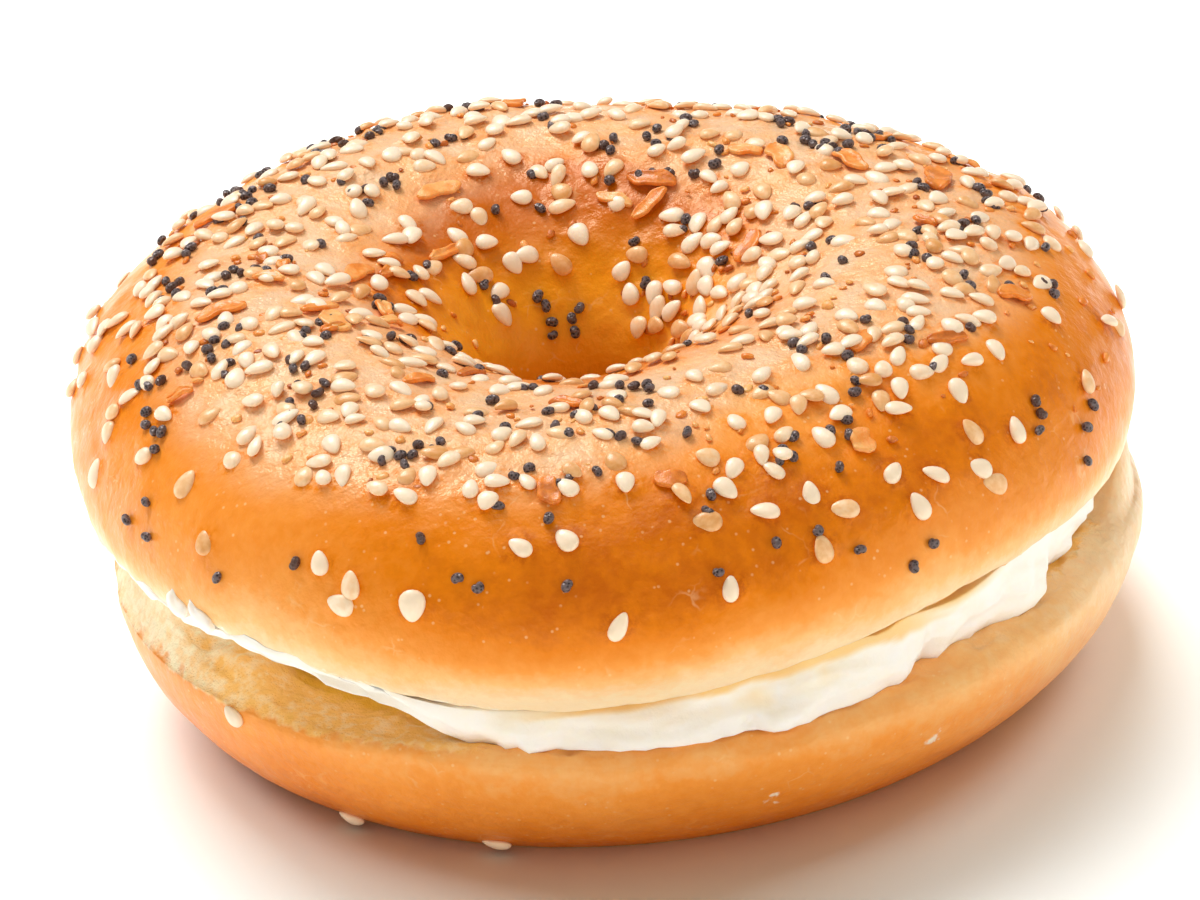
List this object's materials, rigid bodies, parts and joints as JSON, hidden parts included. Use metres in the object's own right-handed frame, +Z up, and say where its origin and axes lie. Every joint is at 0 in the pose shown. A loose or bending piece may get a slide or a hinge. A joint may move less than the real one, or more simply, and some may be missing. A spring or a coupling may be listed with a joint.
{
  "type": "bagel sandwich",
  "caption": "Seeded ring bagel, cut level in two halves with a layer of cream cheese between them; it lies flat on a table.",
  "frame": {"origin": "on the ground, below the middle of the sandwich's bounding box", "axes": "+Z up through the hole, -Y towards the side with the widest show of cream cheese, +X to the right as seen from there"},
  "size_m": [0.1097, 0.1111, 0.0449],
  "materials": {
    "pale_crust": "baked bread crust, paler, with an open crumb on its cut face",
    "cream_cheese": "soft spread cheese, satin",
    "golden_crust": "baked bread crust, golden, slightly glossy, with seeds and onion flakes"
  },
  "bodies": {
    "root": {"bagel_bottom": "pale_crust", "cream_cheese": "cream_cheese", "bagel_top": "golden_crust"}
  },
  "joints": []
}
